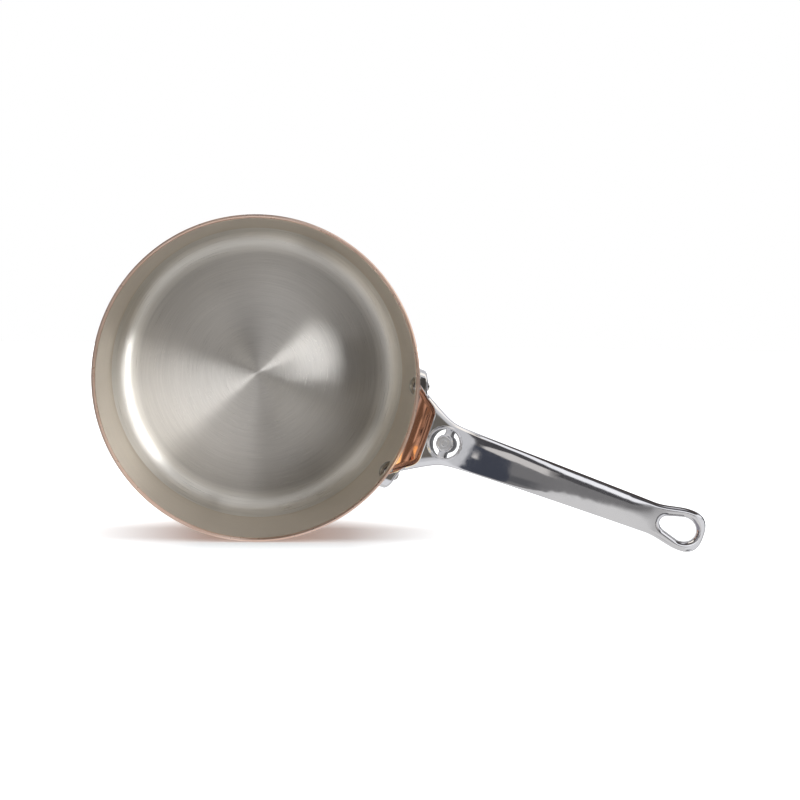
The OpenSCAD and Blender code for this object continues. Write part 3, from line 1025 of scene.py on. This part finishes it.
light_corner = NEAR_WAY * -45 - FAR_WAY * 75 + UP_WAY * 300
card("card_high", high_corner, FAR_WAY * 400, NEAR_WAY * 370, ASH, 0.3)
bent_card("card_low", (42.0, 78.0), (-2.0, 38.0), 130.0, SHADOW, 0.25)
bent_card("card_dim", (6.0, 40.0), (50.0, 182.0), 125.0, DUSK, 0.5)
bent_card("card_glow", (6.0, 56.0), (-104.0, -34.0), 124.0, HAZE, 0.5)
bent_card("card_low_near", (60.0, 97.0), (-78.0, 6.0), 126.0, SHADOW, 0.25)
card("card_pale", (34.0, -70.0, 210.0), (72.0, 0.0, 0.0), (0.0, 68.0, 0.0), CREAM, 0.4)
card("card_lug", (97.0, 27.0, 127.0), (14.0, 0.0, 0.0), (0.0, 24.0, 0.0), SHADOW, 0.1)
card("card_cove", (84.0, -24.0, 119.0), (20.0, 0.0, 0.0), (0.0, 48.0, 0.0), WARM_GREY, 0.5)
# A glowing gold sheet that gives the cove's copper a painted highlight.
card("card_gold", (98.0, -28.0, 121.0), (10.0, 0.0, 0.0), (0.0, 13.0, 0.0), GOLD, 0.2)
card("card_brim", (141.0, 46.0, 116.0), (-42.0, 118.0, 0.0), UP_WAY * 60, CANDLE, 0.2)
card("card_light", light_corner, NEAR_WAY * -300, FAR_WAY * 110, PALE_GREY, 0.3)
card("card_left", (-159.0, -120.0, 112.0), (-83.0, 236.0, 0.0), UP_WAY * 75, SHADOW, 0.1)
card("card_far", (-242.0, 116.0, 112.0), (217.0, 76.0, 0.0), UP_WAY * 75, SHADOW, 0.1)
card("card_ring", (243.0, -40.0, 190.0), (84.0, 0.0, 0.0), (0.0, 76.0, 0.0), SILVER, 0.1)
card("card_tip", (322.0, 162.0, -60.0), (110.0, -115.0, 0.0), UP_WAY * 300, NIGHT, 0.1)

# The studio that metal reflects. A direction is given by two leans from +Z in degrees:
# "back" towards -X, along the handle and over the pan, and "up" towards +Y.
world = bpy.data.worlds.new("studio")
bpy.context.scene.world = world
world.use_nodes = True
nodes, links = world.node_tree.nodes, world.node_tree.links
nodes.clear()
out = add(nodes, "ShaderNodeOutputWorld")
place = add(nodes, "ShaderNodeTexCoord")
ripple = noise(nodes, links, place.outputs["Generated"], scale=7.0, detail=2.0)
# How far the ripple moves the zones' edges in all, in degrees
RIPPLE = 1.6
parts = add(nodes, "ShaderNodeSeparateXYZ")
links.new(place.outputs["Generated"], parts.inputs[0])


def math_node(operation, *values):
    return maths(nodes, links, operation, *values)


def edge(value, start, stop):
    """A soft step: 0 at start and 1 at stop."""
    node = add(nodes, "ShaderNodeMapRange", interpolation_type="SMOOTHSTEP")
    links.new(value, node.inputs["Value"])
    node.inputs["From Min"].default_value = start
    node.inputs["From Max"].default_value = stop
    return node.outputs["Result"]


def all_of(*masks):
    """The product of some masks."""
    total = masks[0]
    for mask in masks[1:]:
        total = math_node("MULTIPLY", total, mask)
    return total


def paint(under, mask, colour):
    """Lays a colour over what is there, where the mask is 1."""
    node = add(nodes, "ShaderNodeMixRGB")
    links.new(mask, node.inputs["Fac"])
    if isinstance(under, tuple):
        node.inputs["Color1"].default_value = (*under, 1.0)
    else:
        links.new(under, node.inputs["Color1"])
    node.inputs["Color2"].default_value = (*colour, 1.0)
    return node.outputs["Color"]


def lean(socket, sign):
    """The lean from +Z in degrees, along one axis and with the ripple added."""
    turned = math_node("ARCTAN2", math_node("MULTIPLY", socket, sign), parts.outputs["Z"])
    wobble = math_node("MULTIPLY_ADD", ripple, RIPPLE, -RIPPLE / 2)
    return math_node("MULTIPLY_ADD", turned, 180.0 / math.pi, wobble)


back = lean(parts.outputs["X"], -1.0)
up = lean(parts.outputs["Y"], 1.0)

WHITE = (1.1, 1.1, 1.12)
SOFT = (0.66, 0.66, 0.67)
BRIGHT = (0.86, 0.86, 0.87)
BACKDROP = (1.0, 1.0, 1.0)
TABLE = (0.72, 0.71, 0.70)
LOW = (0.36, 0.35, 0.345)
GREY = (0.205, 0.20, 0.20)
SHADE = (0.12, 0.12, 0.125)
DARK = (0.075, 0.073, 0.077)
NAVY = (0.062, 0.068, 0.088)
BEIGE = (0.71, 0.68, 0.65)
FAR = (0.50, 0.49, 0.51)
LILAC = (0.30, 0.29, 0.32)
STONE = (0.16, 0.145, 0.125)
BROWN = (0.075, 0.06, 0.055)
CLAY = (0.21, 0.19, 0.17)

# The plate's bright zone reaches farthest back where "up" is 5 degrees, and less on both sides.
under_five = math_node("MAXIMUM", math_node("SUBTRACT", 5.0, up), 0.0)
over_five = math_node("MAXIMUM", math_node("SUBTRACT", up, 5.0), 0.0)
past_plate = math_node("ADD", back, math_node("MULTIPLY", under_five, 0.13))
past_plate = math_node("ADD", past_plate, math_node("MULTIPLY", over_five, 0.24))
# The beige zone ends at the crest, the table shows under its own line, and the dark zone starts
# over its foot. The bright box's foot and top come lower as "back" grows, so the leans that are
# compared with them have that slope added.
crest = math_node("MINIMUM", math_node("MULTIPLY_ADD", back, 1.1, -3.0), 17.0)
short = math_node("MAXIMUM", math_node("SUBTRACT", 40.0, back), 0.0)
table_top = math_node("MULTIPLY_ADD", math_node("POWER", short, 3.0), -0.037, -2.0)
dark_foot = math_node("MINIMUM", math_node("MAXIMUM", math_node("MULTIPLY_ADD", back, 2.5, -70.0), 2.5), 9.5)
box_foot = math_node("MULTIPLY_ADD", math_node("MAXIMUM", math_node("SUBTRACT", back, 22.0), 0.0), 1.25, up)
past_box = math_node("MINIMUM", math_node("MAXIMUM", math_node("SUBTRACT", back, 30.0), 0.0), 10.0)
box_top = math_node("MULTIPLY_ADD", past_box, 3.0, up)

above_foot = math_node("SUBTRACT", up, dark_foot)
above_crest = math_node("SUBTRACT", up, crest)
above_table = math_node("SUBTRACT", up, table_top)
# Each row lays its colour over the rows before it, where all its soft steps are 1.
tone = GREY
for colour, *steps in (
    (SHADE, edge(back, 18.0, 22.0), edge(back, 31.0, 26.0), edge(up, -42.0, -30.0), edge(up, -8.0, -16.0)),
    (NAVY, edge(back, 20.8, 20.0), edge(up, 3.0, 1.5)),
    (DARK, edge(above_foot, -1.5, 1.5), edge(back, 43.0, 39.0)),
    (BEIGE, edge(back, 8.0, 10.0), edge(back, 31.5, 29.0), edge(up, 1.5, 3.0), edge(above_crest, 1.5, -1.5)),
    (SOFT, edge(back, 40.0, 44.0), edge(up, 34.0, 24.0)),
    (LOW, edge(up, -62.0, -76.0)),
    (TABLE, edge(above_table, 5.0, -5.0)),
    (SOFT, edge(past_plate, 7.0, 5.5)),
    (STONE, edge(back, -2.2, -4.0), edge(back, -15.0, -10.0), edge(up, -13.0, -9.0), edge(up, 20.0, 13.0)),
    (BRIGHT, edge(back, 0.0, -6.0), edge(up, -14.0, -26.0)),
    (BEIGE, edge(back, 6.2, 6.9), edge(back, 9.4, 8.4), edge(up, -4.0, -3.4), edge(up, -1.8, -2.4)),
    (WHITE, edge(box_foot, 35.0, 41.0), edge(back, 1.0, 4.0)),
    (WHITE, edge(up, 56.0, 62.0), edge(back, 31.0, 29.0)),
    (WHITE, edge(up, 24.0, 30.0), edge(back, -22.0, -28.0)),
    (DARK, edge(box_top, 62.0, 69.0), edge(back, 29.0, 31.0)),
    (WHITE, edge(up, 70.0, 84.0), edge(back, 29.0, 31.0)),
    (FAR, edge(back, -56.0, -62.0)),
    (CLAY, edge(back, -22.0, -30.0), edge(back, -76.0, -68.0), edge(up, -30.0, -22.0), edge(up, 22.0, 16.0)),
):
    tone = paint(tone, all_of(*steps), colour)

# Round the horizon and below it, where the leans lose their meaning, the parts of the unit
# direction itself set the shapes.
east, north, high = (parts.outputs[axis] for axis in "XYZ")
level = edge(high, 0.45, 0.36)
below = edge(high, 0.10, 0.0)
for colour, *steps in (
    (SOFT, below),
    (TABLE, below, edge(north, -0.2, -0.35)),
    (LILAC, level, edge(east, -0.5, -0.65)),
    (BROWN, level, edge(east, 0.12, 0.0), edge(east, -0.48, -0.38), edge(north, 0.3, 0.45)),
    (BROWN, level, edge(east, -0.6, -0.72), edge(north, 0.2, 0.35)),
    (BACKDROP, edge(high, -0.62, -0.74)),
):
    tone = paint(tone, all_of(*steps), colour)

# Shiny surfaces see the studio, the camera sees plain white, and all else is lit by FILL.
FILL = 0.95


def plain_background(strength):
    node = add(nodes, "ShaderNodeBackground")
    node.inputs["Color"].default_value = (1.0, 1.0, 1.0, 1.0)
    node.inputs["Strength"].default_value = strength
    return node


studio = plain_background(1.0)
links.new(tone, studio.inputs["Color"])
paths = add(nodes, "ShaderNodeLightPath")
mirror_rays = math_node("MAXIMUM", paths.outputs["Is Glossy Ray"], paths.outputs["Is Transmission Ray"])
light = mix_shaders(nodes, links, mirror_rays, plain_background(FILL).outputs[0], studio.outputs[0])
light = mix_shaders(nodes, links, paths.outputs["Is Camera Ray"], light, plain_background(1.0).outputs[0])
links.new(light, out.inputs["Surface"])
